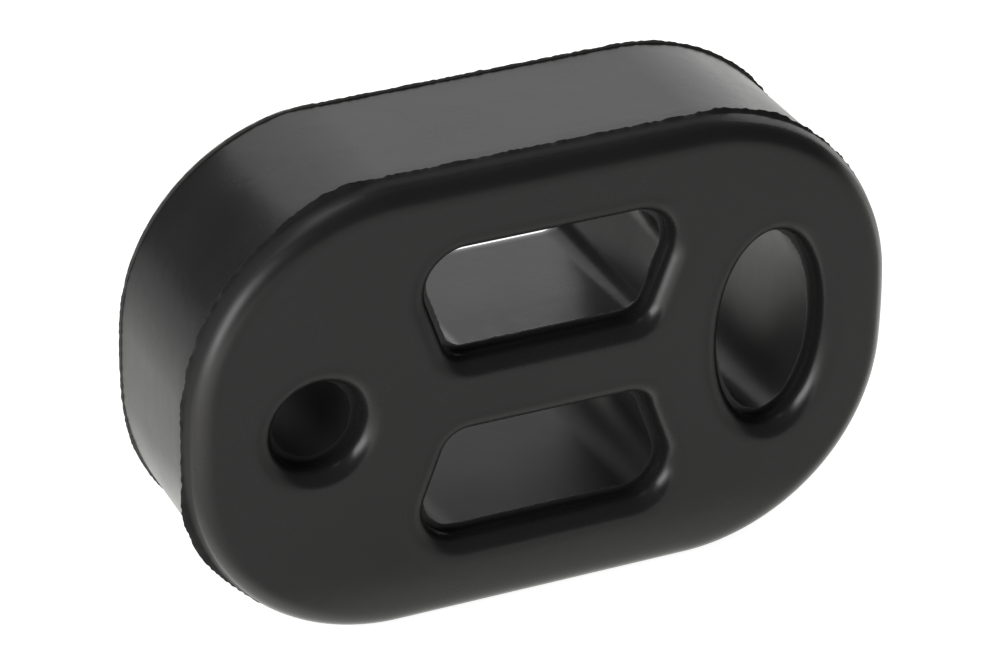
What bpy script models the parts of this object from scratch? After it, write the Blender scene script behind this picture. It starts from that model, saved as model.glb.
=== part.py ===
"""Exhaust hanger: one moulded rubber block with a pin bore, a tall oval slot and two mirrored windows.

The block stands on its long lower side. +X is along its length towards the oval slot, the front face
looks towards -Y, and Z is up. The origin is on the ground below the middle of the block. Metres.
"""

import math

import bmesh
import bpy
from mathutils import Matrix, Vector

# Block, as it leaves the mould
LENGTH = 0.0780
HEIGHT = 0.0510
THICKNESS = 0.0236
CORNER_RADIUS = 0.0225
END_CROWN_RADIUS = 0.0850
LIP_RADIUS = 0.0023

# Mould parting planes, one behind each face. Between them the outer wall narrows towards the rear
# and the openings narrow towards the front, as far as the ledges that close them there.
PARTING_DEPTH = 0.0029
WALL_DRAFT = 0.00045
FLASH_HEIGHT = 0.0005
FLASH_WIDTH = 0.0010
FLASH_CREST = 0.0003
BORE_LEDGE = 0.0006
BORE_DRAFT = 0.0004

# Round bore that grips the pin of the exhaust pipe
PIN_BORE_DIAMETER = 0.0087
PIN_SETBACK = 0.0138

# Tall oval slot that hangs on the pin of the car's floor
OVAL_WIDTH = 0.0106
OVAL_HEIGHT = 0.0213
OVAL_SETBACK = 0.0134

# Two windows, mirrored about the middle web, that let the block stretch
WINDOW_WIDE_SIDE = 0.0292
WINDOW_NARROW_SIDE = 0.0209
WINDOW_SHIFT = 0.0003
WIDE_CORNER_RADIUS = 0.0036
NARROW_CORNER_RADIUS = 0.0022
RIM_WALL = 0.00915
MIDDLE_WEB = 0.0097

# Largest turn between two points of an outline's arcs, and of the lips' arcs
ARC_STEP = math.radians(9)
LIP_STEP = math.radians(23)
WELD_DISTANCE = 0.000002
SHARP_ANGLE = math.radians(35)

# Sizes that follow from the ones above
PARTING_SPACING = THICKNESS - 2 * PARTING_DEPTH
MIDDLE_HEIGHT = HEIGHT / 2 + FLASH_HEIGHT
PIN_X = -LENGTH / 2 + PIN_SETBACK
OVAL_X = LENGTH / 2 - OVAL_SETBACK
WINDOW_TOP = HEIGHT / 2 - RIM_WALL
WINDOW_BOTTOM = MIDDLE_WEB / 2

RUBBER_COLOUR = (0.037, 0.037, 0.038, 1.0)
RUBBER_ROUGHNESS = 0.5


def clear_scene():
    for obj in list(bpy.data.objects):
        bpy.data.objects.remove(obj, do_unlink=True)


def new_collection(name):
    collection = bpy.data.collections.new(name)
    bpy.context.scene.collection.children.link(collection)
    return collection


def rubber_material():
    material = bpy.data.materials.new("black_rubber")
    material.use_nodes = True
    shader = material.node_tree.nodes["Principled BSDF"]
    shader.inputs["Base Color"].default_value = RUBBER_COLOUR
    shader.inputs["Roughness"].default_value = RUBBER_ROUGHNESS
    shader.inputs["Metallic"].default_value = 0.0
    material.diffuse_color = RUBBER_COLOUR
    return material


def arc(centre, radius, start, end, step=ARC_STEP):
    """Points of a circular arc from angle start to angle end, both ends included."""
    count = max(2, math.ceil(abs(end - start) / step))
    angles = [start + (end - start) * i / count for i in range(count + 1)]
    return [(centre[0] + radius * math.cos(a), centre[1] + radius * math.sin(a)) for a in angles]


def block_outline():
    """Long straight sides, round corners and slightly crowned ends, anticlockwise."""
    crown_x = LENGTH / 2 - END_CROWN_RADIUS
    corner_z = HEIGHT / 2 - CORNER_RADIUS
    corner_x = crown_x + math.sqrt((END_CROWN_RADIUS - CORNER_RADIUS) ** 2 - corner_z**2)
    crown_half = math.atan2(corner_z, corner_x - crown_x)
    right = arc((corner_x, -corner_z), CORNER_RADIUS, -math.pi / 2, -crown_half)
    right += arc((crown_x, 0), END_CROWN_RADIUS, -crown_half, crown_half)[1:-1]
    right += arc((corner_x, corner_z), CORNER_RADIUS, crown_half, math.pi / 2)
    left = [(-x, -z) for x, z in right]
    return right + left


def ellipse_outline(centre_x, width, height):
    count = math.ceil(2 * math.pi / ARC_STEP)
    angles = [2 * math.pi * i / count for i in range(count)]
    return [(centre_x + width / 2 * math.cos(a), height / 2 * math.sin(a)) for a in angles]


def pin_outline():
    mouth = PIN_BORE_DIAMETER + 2 * BORE_LEDGE
    return ellipse_outline(PIN_X, mouth, mouth)


def oval_outline():
    return ellipse_outline(OVAL_X, OVAL_WIDTH + 2 * BORE_LEDGE, OVAL_HEIGHT + 2 * BORE_LEDGE)


def rounded_polygon(corners, radii, offset):
    """Polygon, given anticlockwise, with an arc at each corner, as a parallel curve at the offset."""
    outline = []
    for i, (corner, radius) in enumerate(zip(corners, radii)):
        incoming = (corner - corners[i - 1]).normalized()
        outgoing = (corners[(i + 1) % len(corners)] - corner).normalized()
        turn = math.atan2(incoming.cross(outgoing), incoming.dot(outgoing))
        inward = (outgoing - incoming).normalized()
        centre = corner + inward * radius / math.cos(turn / 2)
        start = math.atan2(-incoming.x, incoming.y)
        outline += arc(centre, radius + offset, start, start + turn)
    return outline


def window_outline():
    """Upper window, a trapezium whose wide side is the upper one."""
    wide = WINDOW_WIDE_SIDE / 2
    narrow = WINDOW_NARROW_SIDE / 2
    corners = [
        Vector((WINDOW_SHIFT - narrow, WINDOW_BOTTOM)),
        Vector((WINDOW_SHIFT + narrow, WINDOW_BOTTOM)),
        Vector((WINDOW_SHIFT + wide, WINDOW_TOP)),
        Vector((WINDOW_SHIFT - wide, WINDOW_TOP)),
    ]
    radii = [NARROW_CORNER_RADIUS, NARROW_CORNER_RADIUS, WIDE_CORNER_RADIUS, WIDE_CORNER_RADIUS]
    return rounded_polygon(corners, radii, BORE_LEDGE)


def lip_profile():
    """Quarter round from the front face to the wall, as (distance past the wall, depth)."""
    face = -THICKNESS / 2
    return arc((-LIP_RADIUS, face + LIP_RADIUS), LIP_RADIUS, -math.pi / 2, 0, LIP_STEP)


def mirrored_in_depth(front, rear_inset):
    return front + [(past - rear_inset, -depth) for past, depth in reversed(front)]


def outer_profile():
    """Section of the block's outer rim: lip, land, flash rib, then the same from the rear."""
    parting = -PARTING_SPACING / 2
    rib = [
        (0, parting - FLASH_WIDTH / 2),
        (FLASH_HEIGHT, parting - FLASH_CREST / 2),
        (FLASH_HEIGHT, parting + FLASH_CREST / 2),
        (0, parting + FLASH_WIDTH / 2),
    ]
    return mirrored_in_depth(lip_profile() + rib, WALL_DRAFT)


def bore_profile():
    """Section of an opening's rim: lip, land, ledge, then the drafted bore to the lower ledge behind."""
    parting = -PARTING_SPACING / 2
    mouth = lip_profile() + [(0, parting)]
    narrow_end = (BORE_LEDGE, parting)
    wide_end = (BORE_LEDGE - BORE_DRAFT, -parting)
    return mouth + [narrow_end, wide_end] + mirrored_in_depth(mouth, 0)[len(mouth):]


def drawn_curve(name, points, cyclic, collection):
    curve = bpy.data.curves.new(name, "CURVE")
    curve.dimensions = "3D"
    curve.twist_mode = "Z_UP"
    spline = curve.splines.new("POLY")
    spline.points.add(len(points) - 1)
    for point, (u, v) in zip(spline.points, points):
        point.co = (u, v, 0, 1)
    spline.use_cyclic_u = cyclic
    drawn = bpy.data.objects.new(name, curve)
    collection.objects.link(drawn)
    return drawn


def swept_rim(outline, profile, collection):
    """Mesh of a profile carried once round an outline. The outline lies in XY and the depth is along -Z."""
    section = drawn_curve("section", [(past, -depth) for past, depth in profile], False, collection)
    path = drawn_curve("outline", outline, True, collection)
    path.data.bevel_mode = "OBJECT"
    path.data.bevel_object = section
    bpy.context.view_layer.update()
    evaluated = path.evaluated_get(bpy.context.evaluated_depsgraph_get())
    mesh = bpy.data.meshes.new_from_object(evaluated)
    for drawn in (path, section):
        curve = drawn.data
        bpy.data.objects.remove(drawn)
        bpy.data.curves.remove(curve)
    return mesh


def upper_and_lower(outline):
    """An outline and its mirror image below the middle web, both anticlockwise."""
    return [outline, [(x, -z) for x, z in reversed(outline)]]


def block(collection):
    """The rubber block: its outer rim, the rims of its four openings, and the two flat faces between them."""
    solid = bmesh.new()
    rims = [swept_rim(block_outline(), outer_profile(), collection)]
    for outline in [pin_outline(), oval_outline()] + upper_and_lower(window_outline()):
        clockwise = outline[::-1]
        rims.append(swept_rim(clockwise, bore_profile(), collection))
    for rim in rims:
        solid.from_mesh(rim)
        bpy.data.meshes.remove(rim)
    bmesh.ops.remove_doubles(solid, verts=solid.verts, dist=WELD_DISTANCE)
    for side in (-1, 1):
        edges = [edge for edge in solid.edges if edge.is_boundary and edge.verts[0].co.z * side > 0]
        bmesh.ops.triangle_fill(solid, edges=edges, use_beauty=True)
    bmesh.ops.recalc_face_normals(solid, faces=solid.faces)
    mesh = bpy.data.meshes.new("hanger_body")
    solid.to_mesh(mesh)
    solid.free()
    body = bpy.data.objects.new("hanger_body", mesh)
    # Up to here the outlines' second axis is Y and the depth is -Z: stand the block on its lower side.
    mesh.transform(Matrix.Translation((0, 0, MIDDLE_HEIGHT)) @ Matrix.Rotation(math.pi / 2, 4, "X"))
    collection.objects.link(body)
    return body


def shade(obj):
    obj.data.shade_smooth()
    obj.data.set_sharp_from_angle(angle=SHARP_ANGLE)


def main():
    clear_scene()
    body = block(new_collection("exhaust_hanger"))
    body.data.materials.append(rubber_material())
    shade(body)


main()
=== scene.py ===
# %% [markdown]
# # Exhaust hanger in black moulded rubber
#
# The object is one thick rubber block that hangs a car's exhaust pipe from two rods. It has a
# round pin bore, a tall oval slot and two windows that mirror each other about the middle web.
# This lesson dresses it for a picture: a fine surface takes the place of the plain solid, the
# rubber gets its satin skin, and a small white studio lights it.
#
# The first cell loads the solid. It is the frame, so every size below has to stay inside its box.

# %% Load the frame
import math

import bmesh
import bpy
import numpy as np
from mathutils import Matrix, Vector


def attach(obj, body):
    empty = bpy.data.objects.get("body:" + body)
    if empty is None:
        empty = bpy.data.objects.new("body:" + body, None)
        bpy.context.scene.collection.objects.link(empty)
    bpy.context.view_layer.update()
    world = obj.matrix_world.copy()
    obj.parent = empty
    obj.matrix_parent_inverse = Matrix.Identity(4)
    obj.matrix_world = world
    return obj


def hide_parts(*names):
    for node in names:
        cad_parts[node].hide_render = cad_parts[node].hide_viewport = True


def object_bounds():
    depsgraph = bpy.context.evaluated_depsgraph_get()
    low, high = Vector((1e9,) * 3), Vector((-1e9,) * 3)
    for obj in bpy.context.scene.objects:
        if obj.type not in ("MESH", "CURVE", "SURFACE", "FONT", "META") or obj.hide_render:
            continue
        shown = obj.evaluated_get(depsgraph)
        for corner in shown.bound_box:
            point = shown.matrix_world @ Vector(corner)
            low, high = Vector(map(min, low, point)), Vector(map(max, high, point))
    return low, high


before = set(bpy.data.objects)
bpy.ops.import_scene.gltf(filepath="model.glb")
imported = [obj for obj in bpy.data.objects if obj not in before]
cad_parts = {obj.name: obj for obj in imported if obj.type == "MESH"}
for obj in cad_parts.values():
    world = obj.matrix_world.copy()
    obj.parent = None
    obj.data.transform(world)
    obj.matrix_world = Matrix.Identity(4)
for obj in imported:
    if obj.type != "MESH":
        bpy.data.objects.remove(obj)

cad_box = [list(corner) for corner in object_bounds()]
print("solid's box in mm:", [[round(1000 * value, 2) for value in corner] for corner in cad_box])

# %% [markdown]
# ## Sizes of the block
#
# A moulded block is drawn as an outline and a section. The outline is seen from the front, and
# the section is what a cut through the rim would show. Both use the sizes of the solid, in
# millimetres here because that is how a rubber drawing is read. One factor turns them to metres
# when a mesh is made.

# %% Sizes in millimetres
MM = 0.001
LENGTH, HEIGHT, THICKNESS = 78.0, 51.0, 23.6
CORNER_RADIUS, END_CROWN_RADIUS = 22.5, 85.0
LIP_RADIUS = 2.3
PARTING = THICKNESS / 2 - 2.9
WALL_DRAFT = 0.45
LEDGE, BORE_DRAFT = 0.6, 0.4
SOLID_FLASH = 0.5
MIDDLE_HEIGHT = HEIGHT / 2 + SOLID_FLASH
PIN_X, PIN_DIAMETER = -LENGTH / 2 + 13.8, 8.7
OVAL_X, OVAL_WIDTH, OVAL_HEIGHT = LENGTH / 2 - 13.4, 10.6, 21.3
WINDOW_X, WINDOW_WIDE, WINDOW_NARROW = 0.3, 29.2, 20.9
WINDOW_TOP, WINDOW_BOTTOM = HEIGHT / 2 - 9.15, 4.85
WIDE_CORNER, NARROW_CORNER = 3.6, 2.2
print("block", LENGTH, "x", THICKNESS, "x", HEIGHT, "mm, parting planes at +-", PARTING)

# %% [markdown]
# ## Outlines with their normals
#
# Every outline here is convex, so it can be told by arcs alone: the straight runs are what joins
# one arc to the next. Each arc also knows which way the rim faces, and that normal is what a
# section needs to be carried along. The points are then spaced evenly by length, because a
# ragged edge needs the same detail all the way round.

# %% Arcs and even spacing
SPACING, BORE_SPACING = 0.17, 0.20
ARC_POINTS, ELLIPSE_POINTS = 240, 1440
TINY = 1e-6


def evenly_spaced(points, normals, spacing):
    """Closed polyline read again at equal steps of its own length, with the normals read alike."""
    ring = np.vstack([points, points[:1]])
    facing = np.vstack([normals, normals[:1]])
    length = np.concatenate([[0], np.cumsum(np.linalg.norm(np.diff(ring, axis=0), axis=1))])
    count = int(round(length[-1] / spacing))
    at = np.arange(count) / count * length[-1]
    spaced = np.column_stack([np.interp(at, length, ring[:, i]) for i in (0, 1)])
    turned = np.column_stack([np.interp(at, length, facing[:, i]) for i in (0, 1)])
    return spaced, turned / np.linalg.norm(turned, axis=1, keepdims=True), length[-1]


def arc_chain(arcs, spacing):
    """Convex outline from arcs (x, z, radius, start, end): centre plus radius times (cos, sin)."""
    points, normals = [], []
    for x, z, radius, start, end in arcs:
        turn = np.linspace(start, end, ARC_POINTS)
        facing = np.column_stack([np.cos(turn), np.sin(turn)])
        points.append(np.array([x, z]) + radius * facing)
        normals.append(facing)
    points, normals = np.vstack(points), np.vstack(normals)
    step = np.linalg.norm(np.roll(points, -1, axis=0) - points, axis=1)
    kept = step > TINY
    return evenly_spaced(points[kept], normals[kept], spacing)


# %% Outlines of the block and its openings
def block_outline(spacing):
    """Round corners with straight long sides between them, and each end crowned by a large arc."""
    crown_x = LENGTH / 2 - END_CROWN_RADIUS
    corner_z = HEIGHT / 2 - CORNER_RADIUS
    corner_x = crown_x + math.sqrt((END_CROWN_RADIUS - CORNER_RADIUS) ** 2 - corner_z**2)
    crown = math.atan2(corner_z, corner_x - crown_x)
    half = math.pi / 2
    return arc_chain(
        [
            (crown_x, 0, END_CROWN_RADIUS, 0, crown),
            (corner_x, corner_z, CORNER_RADIUS, crown, half),
            (-corner_x, corner_z, CORNER_RADIUS, half, math.pi - crown),
            (-crown_x, 0, END_CROWN_RADIUS, math.pi - crown, math.pi + crown),
            (-corner_x, -corner_z, CORNER_RADIUS, math.pi + crown, 3 * half),
            (corner_x, -corner_z, CORNER_RADIUS, 3 * half, 2 * math.pi - crown),
            (crown_x, 0, END_CROWN_RADIUS, 2 * math.pi - crown, 2 * math.pi),
        ],
        spacing,
    )


def ellipse_outline(x, width, height, spacing):
    """Ellipse (a cos t, b sin t), whose normal is (cos t / a, sin t / b)."""
    t = np.linspace(0, 2 * np.pi, ELLIPSE_POINTS, endpoint=False)
    a, b = width / 2, height / 2
    points = np.column_stack([x + a * np.cos(t), b * np.sin(t)])
    normals = np.column_stack([np.cos(t) / a, np.sin(t) / b])
    return evenly_spaced(points, normals / np.linalg.norm(normals, axis=1, keepdims=True), spacing)


def window_outline(spacing, side):
    """Trapezium with an arc in each corner. Side 1 is the upper window and -1 mirrors it below."""
    wide, narrow = WINDOW_WIDE / 2, WINDOW_NARROW / 2
    lean = math.atan2(wide - narrow, WINDOW_TOP - WINDOW_BOTTOM)
    half = math.pi / 2
    upper_x = wide - WIDE_CORNER * math.tan((half + lean) / 2)
    lower_x = narrow - NARROW_CORNER * math.tan((half - lean) / 2)
    upper_z, lower_z = WINDOW_TOP - WIDE_CORNER, WINDOW_BOTTOM + NARROW_CORNER
    points, normals, length = arc_chain(
        [
            (upper_x, upper_z, WIDE_CORNER, -lean, half),
            (-upper_x, upper_z, WIDE_CORNER, half, math.pi + lean),
            (-lower_x, lower_z, NARROW_CORNER, math.pi + lean, 3 * half),
            (lower_x, lower_z, NARROW_CORNER, 3 * half, 2 * math.pi - lean),
        ],
        spacing,
    )
    points = points * (1, side) + (WINDOW_X, 0)
    normals = normals * (1, side)
    return points[::side], normals[::side], length


outlines = {
    "block": block_outline(SPACING),
    "pin bore": ellipse_outline(PIN_X, PIN_DIAMETER, PIN_DIAMETER, BORE_SPACING),
    "oval slot": ellipse_outline(OVAL_X, OVAL_WIDTH, OVAL_HEIGHT, BORE_SPACING),
    "upper window": window_outline(BORE_SPACING, 1),
    "lower window": window_outline(BORE_SPACING, -1),
}
for name, (points, normals, length) in outlines.items():
    print(f"{name}: {len(points)} points, {length:.1f} mm round")

# %% [markdown]
# ## Uneven edges
#
# Where the two halves of a mould meet, a little rubber creeps out and is torn off. What is left
# is the flash, a thin fin that is never straight. A sum of sine waves with seeded phases gives
# such an edge: it repeats after one full turn, so it closes on itself, and it is the same on
# every run. Long waves make it wander and short ones fray it.

# %% Ragged waves
def ragged(count, length, longest, shortest, seed):
    """Sum of sines, whole waves per turn, from longest to shortest in mm, scaled to +-1."""
    rng = np.random.default_rng(seed)
    waves = np.arange(max(1, round(length / longest)), round(length / shortest) + 1)
    phase = rng.uniform(0, 2 * np.pi, len(waves))
    strength = rng.uniform(0.4, 1.0, len(waves)) / np.sqrt(waves)
    t = np.arange(count)[:, None] / count * 2 * np.pi
    total = (strength * np.sin(waves * t + phase)).sum(axis=1)
    return total / np.abs(total).max()


block_points, block_normals, block_length = outlines["block"]
count = len(block_points)
long_waves = ragged(count, block_length, longest=9.0, shortest=2.5, seed=11)
short_waves = ragged(count, block_length, longest=2.5, shortest=0.7, seed=12)
print("long waves stand for", round(np.abs(long_waves).mean(), 2), "of their height on average")

# %% [markdown]
# ## How the flash changes round the block
#
# The flash isn't the same all the way round. It stands tall where the mould's edge was worn, and
# the right end has next to none. A short list of stops tells this: each stop is an angle of the
# rim's normal, in degrees from the right end towards the top, and a value in millimetres. The
# height is also kept inside the solid's box, because the dressed part may not outgrow it.

# %% Stops by angle, in millimetres
FRONT_FLASH = [
    (0, 0.10), (20, 0.12), (40, 0.25), (46, 0.40), (52, 0.38), (58, 0.50), (64, 0.80), (72, 0.52),
    (80, 0.70), (90, 0.67), (100, 0.90), (112, 0.95), (120, 0.78), (130, 0.62), (150, 0.50),
    (160, 0.42), (170, 0.32), (180, 0.60), (186, 0.80), (196, 0.98), (206, 0.88), (212, 0.69),
    (218, 0.43), (224, 0.28), (232, 0.17), (245, 0.13), (255, 0.30), (262, 0.47), (278, 0.47),
    (300, 0.30), (330, 0.12),
]
REAR_FLASH = [
    (0, 0.15), (45, 0.36), (52, 0.34), (60, 0.27), (68, 0.24), (76, 0.30), (90, 0.28), (100, 0.22),
    (110, 0.27), (130, 0.28), (150, 0.25), (160, 0.20), (178, 0.20), (184, 0.13), (190, 0.20),
    (202, 0.28), (300, 0.12),
]
REAR_PLANE = [
    (0, 9.40), (68, 9.40), (76, 9.28), (90, 9.28), (100, 9.72), (164, 9.72), (172, 9.55),
    (184, 9.40), (190, 9.25), (300, 9.30),
]
REAR_STEP = [
    (0, 0.35), (90, 0.35), (100, -0.04), (164, -0.04), (176, 0.25), (190, 0.35), (300, 0.35),
]
FRONT_LEAN = [(0, 0), (40, 0.08), (60, 0.30), (105, 0.34), (118, 0.06), (140, 0.0), (300, 0)]


def by_angle(normals, stops):
    """Value at each point of an outline, in proportion between the nearest stops on each side."""
    angle = np.degrees(np.arctan2(normals[:, 1], normals[:, 0])) % 360
    degrees = np.array([stop[0] for stop in stops], float)
    values = np.array([stop[1] for stop in stops], float)
    degrees = np.concatenate([degrees[-1:] - 360, degrees, degrees[:1] + 360])
    values = np.concatenate([values[-1:], values, values[:1]])
    return np.interp(angle, degrees, values)


# %% Height of the two fins
BOX_GAP = 0.01
LEAST_FLASH = 0.04
WAVE_ROOM = 0.6


def room_in_box(inset):
    """How far the rim may stand out before it leaves the solid's box, along each normal."""
    low, high = [np.array([x, z]) / MM - (0, MIDDLE_HEIGHT) for x, y, z in cad_box]
    edge = block_points - inset * block_normals
    reach = np.where(block_normals > 0, high - edge, edge - low)
    return (reach / np.maximum(np.abs(block_normals), TINY)).min(axis=1)


def ragged_flash(stops, inset, long_part, short_part):
    """Height by angle, low enough to leave its waves room in the box, plus those waves."""
    room = room_in_box(inset) - BOX_GAP
    waves = long_part * long_waves + short_part * short_waves
    highest = room - WAVE_ROOM * (abs(long_part) + abs(short_part))
    return np.clip(np.minimum(by_angle(block_normals, stops), highest) + waves, LEAST_FLASH, room)


front_flash = ragged_flash(FRONT_FLASH, 0.0, 0.10, 0.11)
rear_flash = ragged_flash(REAR_FLASH, WALL_DRAFT, -0.05, -0.08)
print(f"front flash {front_flash.min():.2f} to {front_flash.max():.2f} mm high")
print(f"rear flash {rear_flash.min():.2f} to {rear_flash.max():.2f} mm high")

# %% [markdown]
# ## The outer rim
#
# A section is carried round the outline. In front it has a flat ring, the lip, a land that
# spreads into the flash fin, and the fin. Then come the drafted wall, the rear fin and the rear
# lip, which lies a small step further in than the wall over most of the outline. Each row of the
# grid is one point of that section. It has a distance past the outline and a depth, and the rows
# of a fin also take its ragged height and its lean. A loft with plain tools would need a hundred
# cross sections; here the whole rim is two arrays.

# %% Rows of a lip and of a fin
FACE = -THICKNESS / 2
FLAT_RING = 0.6
HOLD = 0.05
# Each row of a fin: share of its height, distance past the outline, and offset from its plane.
FRONT_FIN = [
    (0, 0.19, -0.20), (0, 0.20, -0.15), (0.45, 0.12, -0.09), (0.95, 0, -0.045), (1, 0, 0),
    (0.95, 0, 0.04), (0.40, 0, 0.10), (0, 0, 0.18), (0, 0, 0.18 + HOLD),
]
REAR_FIN = [
    (0, 0, -0.08), (0.90, 0, -0.04), (1, 0, 0),
    (0.90, 0, 0.05), (0.40, 0, 0.10), (0, 0, 0.15), (0, 0, 0.15 + HOLD),
]


def lip_rows(last, step):
    """Flat ring, then a circle from the face to the wall, by degrees, as (past, depth)."""
    turn = np.radians(np.arange(0, last + 1, step))
    past = -LIP_RADIUS + LIP_RADIUS * np.sin(turn)
    depth = FACE + LIP_RADIUS * (1 - np.cos(turn))
    return np.vstack([[(-LIP_RADIUS - FLAT_RING, FACE)], np.column_stack([past, depth])])


front_lip, rear_lip, opening_lip = lip_rows(72, 9), lip_rows(80, 10), lip_rows(90, 10)
print("rows of the front:", len(front_lip), "for the lip and", len(FRONT_FIN), "for the fin")

# %% Section of the outer rim
WALL_ROWS = 8
LEAN_WANDER, REAR_LEAN = 0.08, -0.3


def rim_grid(points, normals, past, depth):
    """Rows of a rim: outline plus distance past it along the normal in XZ, and depth along Y."""
    flat = points[None, :, :] + past[:, :, None] * normals[None, :, :]
    return np.stack([flat[:, :, 0], depth, flat[:, :, 1] + MIDDLE_HEIGHT], axis=2) * MM


def half_section(lip, fin, flash, lean, plane, step):
    """Half of the outer section, from the flat ring to just past the fin's inner root.

    A fin's row lies share times flash plus its foot past the outline, and its offset plus share
    times lean from the plane. The lip and the fin's first row lie one step further in.
    """
    past = [row - step for row in lip[:, 0]]
    past += [share * flash + foot for share, foot, offset in fin]
    past[len(lip)] = past[len(lip)] - step
    depth = [np.full(count, row) for row in lip[:, 1]]
    depth += [-plane + offset + share * lean for share, foot, offset in fin]
    return np.array(past), np.array(depth)


fin_lean = LEAN_WANDER * ragged(count, block_length, longest=6.0, shortest=1.5, seed=13)
front_lean = by_angle(block_normals, FRONT_LEAN) + fin_lean
rear_plane = by_angle(block_normals, REAR_PLANE)
rear_step = by_angle(block_normals, REAR_STEP)
front_past, front_depth = half_section(
    front_lip, FRONT_FIN, front_flash, front_lean, PARTING, np.zeros(count)
)
rear_past, rear_depth = half_section(
    rear_lip, REAR_FIN, rear_flash, REAR_LEAN * fin_lean, rear_plane, rear_step
)
wall_depth = np.linspace(-PARTING, PARTING, WALL_ROWS)[1:-1, None] * np.ones(count)
wall_past = -WALL_DRAFT * (wall_depth + PARTING) / (2 * PARTING)
past = np.vstack([front_past, wall_past, rear_past[::-1] - WALL_DRAFT])
depth = np.vstack([front_depth, wall_depth, -rear_depth[::-1]])
outer_rim = rim_grid(block_points, block_normals, past, depth)
print("outer rim:", outer_rim.shape[0], "rows of", outer_rim.shape[1], "points")

# %% [markdown]
# ## Where the skin is torn, and where shade is painted
#
# The mould polishes the face and the wall, but not its own edges. Two numbers from 0 to 1 are
# kept at every point for the rubber's material: torn, on the rear fin, where the rubber broke off
# and turned grey, and painted shade, which makes the skin matt and darkens its colour towards
# black: in the groove beside the front fin, where little light gets in, on the front fin itself,
# and over parts of the lip, to tone down its highlight. The shade changes round the block too,
# so it is told by stops of the same kind.

# %% Torn parts and painted shade of the outer rim
# Painted shade: by the rim's angle on the lip rows, to darken the lip's highlight, and on the
# lip's last row and the land, to darken the groove; row by row on the front fin, to darken it.
LIP_SHADE = [(0, 0.0), (60, 0.1), (90, 0.3), (150, 0.2), (190, 0.0), (260, 0.0), (290, 0.1)]
LIP_EDGE_SHADE = [(0, 0.5), (38, 0.0), (112, 0.0), (125, 0.8), (300, 0.8)]
LAND_SHADE = [(0, 0.8), (38, 0.1), (78, 0.1), (88, 1.0), (300, 1.0)]
FIN_SHADE = [1, 1, 1, 1, 1, 0.6, 0.2]
LAND_ROWS = len(FRONT_FIN) - len(FIN_SHADE)
fin_start = len(front_lip)
outer_dull_shade = np.zeros(past.shape)
outer_dull_shade[1 : fin_start - 1] = by_angle(block_normals, LIP_SHADE)
outer_dull_shade[fin_start - 1] = by_angle(block_normals, LIP_EDGE_SHADE)
outer_dull_shade[fin_start : fin_start + LAND_ROWS] = by_angle(block_normals, LAND_SHADE)
outer_dull_shade[fin_start + LAND_ROWS : fin_start + len(FRONT_FIN)] = np.array(FIN_SHADE)[:, None]
outer_torn = np.zeros(past.shape)
torn_fin = [[share > 0] for share, foot, offset in REAR_FIN]
outer_torn[::-1][len(rear_lip) : len(rear_past)] = torn_fin
print("torn rows:", int(outer_torn[:, 0].sum()))
print("dull rows:", int((outer_dull_shade.max(axis=1) > 0).sum()))

# %% [markdown]
# ## The rims of the openings
#
# An opening is the same idea turned inward: the face rolls over a lip, runs along a short land
# and drops by a small ledge to the tighter bore, because the pins of the mould's two halves meet
# there. The ledge's edge has a small burr that wanders, and the bore widens towards the rear. The
# normals of these outlines point into the rubber, so a distance past them is a wider opening. The
# bores are matt inside and have painted shade, each darkened by its own amount. The far side of
# each opening's lip also has painted shade, which keeps a light rim off it.

# %% Section of an opening
# Painted shade: on the far side of each lip by angle, spread over the lip rows by the shares, and
# in each bore by its own amount.
FAR_LIP_SHADE = [(0, 0.0), (40, 0.1), (70, 0.6), (215, 0.6), (250, 0.1), (320, 0.0)]
SHADE_ROWS, SHADE_SHARES = [0, 2, 4, 7], [0, 1, 0.8, 0]
SHADED_BORES = {"pin bore": 1.0, "oval slot": 0.3, "upper window": 0.1, "lower window": 0.6}
LEDGE_WANDER = 0.05
BURR_HEIGHT, BURR_FRAY, BURR_WANDER = 0.03, 0.07, 0.05
BORE_ROWS, BORE_MARGIN = 5, 0.3
FIRST_SEED = 20


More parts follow.
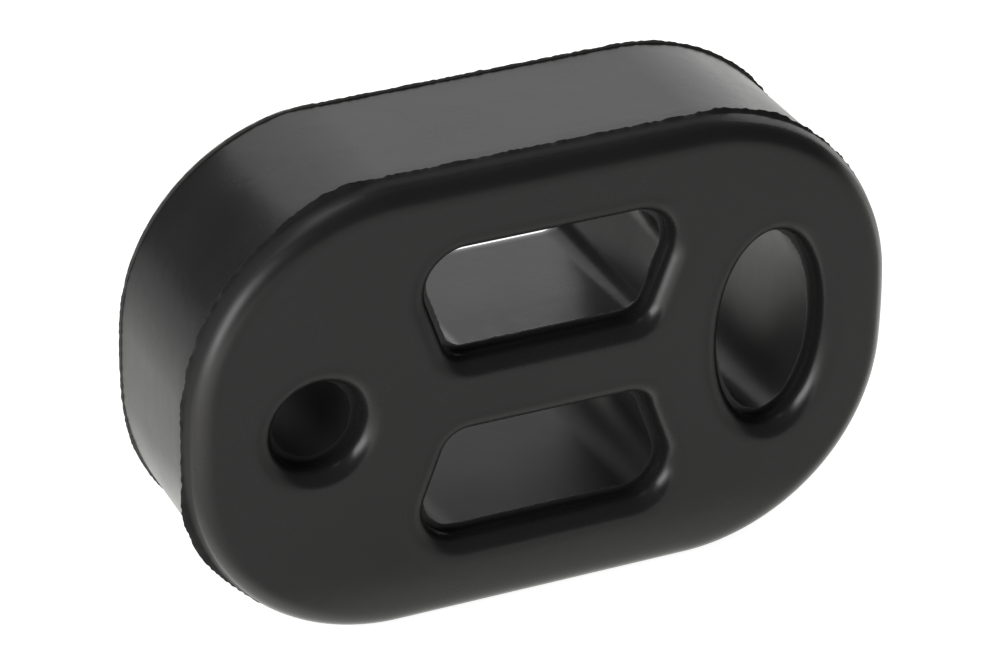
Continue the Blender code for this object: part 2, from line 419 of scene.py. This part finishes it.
def opening_rim(name, seed, bore_shade):
    """Grid of lip, land, uneven ledge, drafted bore, clean ledge and rear lip, and its painted
    shade.

    The burr is a sum of a mean height, short waves and long waves, and never less than nothing.
    The bore's distance grows from 0 to its draft in proportion to the depth.
    """
    points, normals, length = outlines[name]
    one = np.ones(len(points))
    wander = ragged(len(points), length, longest=8.0, shortest=2.0, seed=seed)
    fray = ragged(len(points), length, longest=2.2, shortest=0.5, seed=seed + 1)
    plane = -PARTING + LEDGE_WANDER * wander
    burr = np.clip(BURR_HEIGHT + BURR_FRAY * fray + BURR_WANDER * wander, 0.0, None)
    front_ledge = [
        (LEDGE, -HOLD), (LEDGE, 0.0), (2.5 * HOLD, 0.0), (HOLD - burr, 0.0),
        (-burr, 0.02), (-burr, 0.06), (0.0, 0.16), (0.0, 0.16 + HOLD),
    ]
    rear_ledge = [
        (BORE_DRAFT, PARTING - HOLD), (BORE_DRAFT, PARTING),
        (LEDGE, PARTING), (LEDGE, PARTING + HOLD),
    ]
    across = np.linspace(-PARTING + BORE_MARGIN, PARTING - BORE_MARGIN, BORE_ROWS)[:, None]
    drafted = BORE_DRAFT * (across + PARTING) / (2 * PARTING)
    lip_past = np.outer(LEDGE - opening_lip[:, 0], one)
    lip_depth = np.outer(opening_lip[:, 1], one)
    past = [lip_past, [out * one for out, offset in front_ledge], drafted * one]
    past += [[out * one for out, at in rear_ledge], lip_past[::-1]]
    depth = [lip_depth, [plane + offset for out, offset in front_ledge], across * one]
    depth += [[at * one for out, at in rear_ledge], -lip_depth[::-1]]
    past, depth = np.vstack(past), np.vstack(depth)
    lip_count = len(opening_lip)
    shade_share = np.interp(np.arange(lip_count), SHADE_ROWS, SHADE_SHARES)
    dull_shade = np.zeros(past.shape)
    dull_shade[:lip_count] = np.outer(shade_share, by_angle(normals, FAR_LIP_SHADE))
    dull_shade[lip_count + 1 : lip_count + len(front_ledge) + BORE_ROWS + 1] = bore_shade
    return rim_grid(points, normals, past, depth), dull_shade


rims, dull_shade_rims = [outer_rim], [outer_dull_shade]
for number, (name, bore_shade) in enumerate(SHADED_BORES.items()):
    rim, dull_shade_rim = opening_rim(name, FIRST_SEED + 2 * number, bore_shade)
    rims.append(rim)
    dull_shade_rims.append(dull_shade_rim)
    print(name, "rim:", rim.shape[0], "rows of", rim.shape[1], "points")
torn_rims = [outer_torn] + [np.zeros(rim.shape[:2]) for rim in rims[1:]]

# %% [markdown]
# ## One closed body
#
# The five rims become quads by their row and column numbers, and the two flat faces between
# their first and last rows are filled with triangles. The flat ring that each rim keeps on the
# face holds the smooth shading still there, so the long thin triangles of the filling never
# show. Each grid closes on itself by its numbers, so there are no double points to merge, and at
# the end every face is turned outward.

# %% Quads of the rims
def grid_quads(rows, columns, first):
    """Corner numbers of the quads of a grid that closes on itself along its columns."""
    row = np.arange(rows - 1)[:, None] * columns
    column = np.arange(columns)[None, :]
    beside = (column + 1) % columns
    corners = [row + column, row + beside, row + columns + beside, row + columns + column]
    return first + np.stack(corners, axis=2).reshape(-1, 4)


vertices = np.vstack([rim.reshape(-1, 3) for rim in rims])
quads, first = [], 0
for rim in rims:
    quads.append(grid_quads(rim.shape[0], rim.shape[1], first))
    first += rim.shape[0] * rim.shape[1]
quads = np.vstack(quads)
print(len(vertices), "points and", len(quads), "quads")

# %% Mesh of the body
SHARP_ANGLE = math.radians(38)
mesh = bpy.data.meshes.new("rubber_block")
mesh.from_pydata(vertices.tolist(), [], quads.tolist())
solid = bmesh.new()
solid.from_mesh(mesh)
for side in (-1, 1):
    rim_edges = [e for e in solid.edges if e.is_boundary and e.verts[0].co.y * side > 0]
    bmesh.ops.triangle_fill(solid, edges=rim_edges, use_beauty=True)
bmesh.ops.recalc_face_normals(solid, faces=solid.faces)
open_edges = sum(not e.is_manifold for e in solid.edges)
solid.to_mesh(mesh)
volume = solid.calc_volume()
solid.free()
mesh.shade_smooth()
mesh.set_sharp_from_angle(angle=SHARP_ANGLE)
# The second attribute is painted shade, for the rubber's colour and roughness.
for name, parts in (("torn", torn_rims), ("dull_shade", dull_shade_rims)):
    values = np.concatenate([part.ravel() for part in parts]).astype(np.float32)
    mesh.attributes.new(name, "FLOAT", "POINT").data.foreach_set("value", values)
block = bpy.data.objects.new("rubber_block", mesh)
bpy.context.scene.collection.objects.link(block)
mesh.calc_loop_triangles()
print(f"{len(mesh.loop_triangles)} triangles, {open_edges} open edges, {volume * 1e6:.1f} cm3")

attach(block, "root")
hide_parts("hanger_body")

# %% [markdown]
# ## Black rubber
#
# Exhaust hangers are moulded in EPDM, a rubber that carbon makes black and that stands heat and
# oil. The polished mould leaves a satin skin: dark and even when looked at straight on, and
# bright at a glancing angle. So the colour stays nearly black and the look is made by roughness.
# Three patterns break it up: cloudy patches where wax has bloomed to the surface, shallow waves
# that the skin takes as it shrinks in the mould, and a fine grain. Each has its real size in
# millimetres. The torn parts of the rims are matt and greyer than the rest, and where shade is
# painted the skin is matt and its colour is darkened towards black.

# %% Colours and nodes
def linear(hex_colour):
    """Colour of a hex string such as #2b2a2a, from sRGB to the linear values that shaders use."""
    channels = [int(hex_colour[i : i + 2], 16) / 255 for i in (1, 3, 5)]
    values = [c / 12.92 if c <= 0.04045 else ((c + 0.055) / 1.055) ** 2.4 for c in channels]
    return (*values, 1.0)


def per_mm(size):
    """Scale, on object coordinates in metres, of a pattern whose features are this many mm."""
    return 1 / (size * MM)


def node(tree, kind, inputs=None, **settings):
    """Adds a node, sets its properties, and sets or links each named input."""
    made = tree.nodes.new(kind)
    for name, value in settings.items():
        setattr(made, name, value)
    for name, value in (inputs or {}).items():
        if isinstance(value, bpy.types.NodeSocket):
            tree.links.new(value, made.inputs[name])
        else:
            made.inputs[name].default_value = value
    return made


def empty_material(name):
    """New material with no nodes, and its node tree."""
    material = bpy.data.materials.new(name)
    material.use_nodes = True
    material.node_tree.nodes.clear()
    return material, material.node_tree


print("near black as linear values:", [round(value, 4) for value in linear("#232323")])

# %% Satin EPDM rubber
BLOOM, WAVES, GRAIN = 7, 1.8, 0.35
LEAST_BLOOM, MOST_BLOOM = 0.3, 0.7
GLOSSIEST, WAXIEST, DULL, TORN = 0.22, 0.29, 0.70, 0.75


def satin_rubber():
    """EPDM skin: near black, gloss broken by bloom, waves and grain, matt where torn, painted
    shade darker.
    """
    material, tree = empty_material("epdm_rubber_moulded_satin")
    place = node(tree, "ShaderNodeTexCoord").outputs["Object"]
    bloom = node(
        tree,
        "ShaderNodeTexNoise",
        {"Vector": place, "Scale": per_mm(BLOOM), "Detail": 4, "Roughness": 0.6},
    ).outputs["Fac"]
    grain = node(
        tree,
        "ShaderNodeTexNoise",
        {"Vector": place, "Scale": per_mm(GRAIN), "Detail": 3, "Roughness": 0.7},
    ).outputs["Fac"]
    waves = node(
        tree,
        "ShaderNodeTexNoise",
        {"Vector": place, "Scale": per_mm(WAVES), "Detail": 2, "Roughness": 0.5},
    ).outputs["Fac"]
    torn = node(tree, "ShaderNodeAttribute", attribute_name="torn").outputs["Fac"]
    dull_shade = node(tree, "ShaderNodeAttribute", attribute_name="dull_shade").outputs["Fac"]

    cloudy = node(
        tree,
        "ShaderNodeMapRange",
        {"Value": bloom, "From Min": LEAST_BLOOM, "From Max": MOST_BLOOM},
    )
    rubber = node(
        tree,
        "ShaderNodeMix",
        {"Factor": cloudy.outputs["Result"], "A": linear("#232323"), "B": linear("#272525")},
        data_type="RGBA",
    )
    # Painted shade: the colour is darkened towards #0f0f0f in the groove, on the front fin, on
    # parts of the lips and in the bores.
    shaded_colour = node(
        tree,
        "ShaderNodeMix",
        {"Factor": dull_shade, "A": rubber.outputs["Result"], "B": linear("#0f0f0f")},
        data_type="RGBA",
    )
    colour = node(
        tree,
        "ShaderNodeMix",
        {"Factor": torn, "A": shaded_colour.outputs["Result"], "B": linear("#4e4d4a")},
        data_type="RGBA",
    )

    waxy = node(
        tree,
        "ShaderNodeMapRange",
        {
            "Value": bloom,
            "From Min": LEAST_BLOOM,
            "From Max": MOST_BLOOM,
            "To Min": GLOSSIEST,
            "To Max": WAXIEST,
        },
    )
    duller = node(tree, "ShaderNodeMix", {"Factor": dull_shade, "A": waxy.outputs["Result"], "B": DULL})
    matt = node(tree, "ShaderNodeMix", {"Factor": torn, "A": duller.outputs["Result"], "B": TORN})

    wavy = node(tree, "ShaderNodeBump", {"Height": waves, "Strength": 0.3, "Distance": 0.06 * MM})
    bump = node(
        tree,
        "ShaderNodeBump",
        {
            "Height": grain,
            "Strength": 0.12,
            "Distance": 0.04 * MM,
            "Normal": wavy.outputs["Normal"],
        },
    )
    shader = node(
        tree,
        "ShaderNodeBsdfPrincipled",
        {
            "Base Color": colour.outputs["Result"],
            "Roughness": matt.outputs["Result"],
            "Normal": bump.outputs["Normal"],
            "IOR": 1.5,
        },
    )
    node(tree, "ShaderNodeOutputMaterial", {"Surface": shader.outputs["BSDF"]})
    return material


block.data.materials.clear()
block.data.materials.append(satin_rubber())
print("materials on the block:", [m.name for m in block.data.materials])

# %% [markdown]
# ## The camera
#
# The picture is taken from the left of the front and from above, with a long lens, so that the
# long sides stay nearly parallel. The camera looks at the middle of the block, and a small shift
# sets the block in the frame.

# %% Camera
AZIMUTH, ELEVATION, ROLL = math.radians(25.27), math.radians(30.1), math.radians(1.07)
DISTANCE, TARGET = 0.582, Vector((0, 0, 0.026))
SENSOR_WIDTH, FOCAL_LENGTH = 36, 202.66
SHIFT_X, SHIFT_Y = -0.0020, -0.0045
back = Vector(
    (
        -math.sin(AZIMUTH) * math.cos(ELEVATION),
        -math.cos(AZIMUTH) * math.cos(ELEVATION),
        math.sin(ELEVATION),
    )
)
facing = back.to_track_quat("Z", "Y").to_matrix() @ Matrix.Rotation(ROLL, 3, "Z")
camera_data = bpy.data.cameras.new("camera")
camera_data.sensor_width = SENSOR_WIDTH
camera_data.lens = FOCAL_LENGTH
camera_data.shift_x, camera_data.shift_y = SHIFT_X, SHIFT_Y
camera_data.clip_start = 0.01
camera = bpy.data.objects.new("camera", camera_data)
camera.matrix_world = Matrix.Translation(TARGET + back * DISTANCE) @ facing.to_4x4()
bpy.context.scene.collection.objects.link(camera)
bpy.context.scene.camera = camera
print("camera at", [round(value, 3) for value in camera.matrix_world.translation])

# %% [markdown]
# ## A small white studio
#
# Satin rubber is a dull mirror, so what it reflects matters more than what shines on it. A bright
# sweep behind the block greys the top, a softbox and a narrow strip on the left draw the streak
# along the lip, and a softbox above fills the rest. The world is white to the camera alone, and
# dim to everything else, so that the unlit parts of the rubber stay dark.

# %% Lamps
def direction(azimuth, elevation):
    """Unit vector from the block: azimuth in degrees from straight behind (+Y) towards +X."""
    a, e = math.radians(azimuth), math.radians(elevation)
    return Vector((math.sin(a) * math.cos(e), math.cos(a) * math.cos(e), math.sin(e)))


def softbox(name, azimuth, elevation, distance, width, height, radiance):
    """White area lamp aimed at the block. Its power is radiance times pi times its area."""
    lamp = bpy.data.lights.new(name, "AREA")
    lamp.shape = "RECTANGLE"
    lamp.size, lamp.size_y = width, height
    lamp.energy = radiance * math.pi * width * height
    holder = bpy.data.objects.new(name, lamp)
    towards = direction(azimuth, elevation)
    turned = towards.to_track_quat("Z", "Y").to_matrix().to_4x4()
    holder.matrix_world = Matrix.Translation(TARGET + towards * distance) @ turned
    holder.visible_camera = False
    bpy.context.scene.collection.objects.link(holder)


softbox("sweep_behind", 24, 22, 0.9, 1.24, 0.80, 1.02)
softbox("softbox_left", -112, 13, 0.7, 0.70, 0.50, 1.4)
softbox("strip_left", -115, 17, 0.6, 0.24, 0.34, 3.8)
softbox("softbox_above", -60, 66, 0.7, 0.50, 0.45, 1.1)

# %% World
SKY_STRENGTH = 0.11
world = bpy.data.worlds.new("studio")
bpy.context.scene.world = world
world.use_nodes = True
tree = world.node_tree
tree.nodes.clear()
rays = node(tree, "ShaderNodeLightPath")
sky = node(tree, "ShaderNodeBackground", {"Color": linear("#ffffff"), "Strength": SKY_STRENGTH})
white = node(tree, "ShaderNodeBackground", {"Color": linear("#ffffff"), "Strength": 1.0})
seen = node(
    tree,
    "ShaderNodeMixShader",
    {0: rays.outputs["Is Camera Ray"], 1: sky.outputs[0], 2: white.outputs[0]},
)
node(tree, "ShaderNodeOutputWorld", {"Surface": seen.outputs[0]})
print("world:", world.name, "with strength", SKY_STRENGTH)

# %% [markdown]
# ## The table
#
# The block stands on a white table. Its diffuse part takes the block's shadow, and its white
# comes from a glow that only the camera and reflections see. In reflections the table isn't even:
# it is dim before the block, which keeps the face dark, and bright close behind it and left of
# it, where the left wall picks it up. The ranges are places on the table, in metres.

# %% Table
CAMERA_GLOW = 0.88


def table_material():
    """White table: a diffuse part that takes shadow, and a glow for camera and reflections."""
    material, tree = empty_material("white_table")
    rays = node(tree, "ShaderNodeLightPath").outputs
    place = node(tree, "ShaderNodeTexCoord").outputs["Object"]
    apart = node(tree, "ShaderNodeSeparateXYZ", {"Vector": place}).outputs
    x, y = apart["X"], apart["Y"]
    # Each ramp: coordinate, where it starts and ends, and its values at those two places.
    ramps = {
        "before": (x, -0.12, -0.03, 1.2, 0.28),
        "left": (x, -0.065, -0.03, 0.55, 1.1),
        "behind": (x, -0.13, -0.035, 0.0, 1.0),
        "near": (y, 0.01, 0.03, 1.0, 0.58),
        "far": (y, 0.012, 0.035, 0.0, 1.0),
        "side": (y, -0.022, -0.014, 0.0, 1.0),
    }
    glows = {}
    for name, (value, start, end, low, high) in ramps.items():
        ends = {"From Min": start, "From Max": end, "To Min": low, "To Max": high}
        glows[name] = node(tree, "ShaderNodeMapRange", {"Value": value, **ends}).outputs[0]
    dimmed = node(
        tree, "ShaderNodeMix", {"Factor": glows["far"], "A": glows["left"], "B": glows["behind"]}
    )
    rear = node(
        tree, "ShaderNodeMath", {0: dimmed.outputs[0], 1: glows["near"]}, operation="MULTIPLY"
    )
    lit = node(
        tree,
        "ShaderNodeMix",
        {"Factor": glows["side"], "A": glows["before"], "B": rear.outputs[0]},
    )
    paint = node(tree, "ShaderNodeBsdfDiffuse", {"Color": linear("#f0f0f0")})
    camera_part = node(
        tree, "ShaderNodeMath", {0: rays["Is Camera Ray"], 1: CAMERA_GLOW}, operation="MULTIPLY"
    )
    glossy_part = node(
        tree, "ShaderNodeMath", {0: rays["Is Glossy Ray"], 1: lit.outputs[0]}, operation="MULTIPLY"
    )
    strength = node(
        tree,
        "ShaderNodeMath",
        {0: camera_part.outputs[0], 1: glossy_part.outputs[0]},
        operation="ADD",
    )
    tint = node(
        tree,
        "ShaderNodeMix",
        {"Factor": rays["Is Glossy Ray"], "A": linear("#ffffff"), "B": linear("#fffffa")},
        data_type="RGBA",
    )
    glow = node(
        tree,
        "ShaderNodeEmission",
        {"Color": tint.outputs["Result"], "Strength": strength.outputs[0]},
    )
    both = node(tree, "ShaderNodeAddShader", {0: paint.outputs[0], 1: glow.outputs[0]})
    node(tree, "ShaderNodeOutputMaterial", {"Surface": both.outputs[0]})
    return material


TABLE_HALF = 6
corners = [(x * TABLE_HALF, y * TABLE_HALF, 0.0) for x, y in ((-1, -1), (1, -1), (1, 1), (-1, 1))]
flat = bpy.data.meshes.new("table")
flat.from_pydata(corners, [], [(0, 1, 2, 3)])
flat.materials.append(table_material())
table = bpy.data.objects.new("table", flat)
bpy.context.scene.collection.objects.link(table)
print("table", 2 * TABLE_HALF, "m wide")

# %% [markdown]
# ## Last settings
#
# The view transform stays plain, so that a colour renders as it is written.

# %% Look settings
bpy.context.scene.view_settings.view_transform = "Standard"
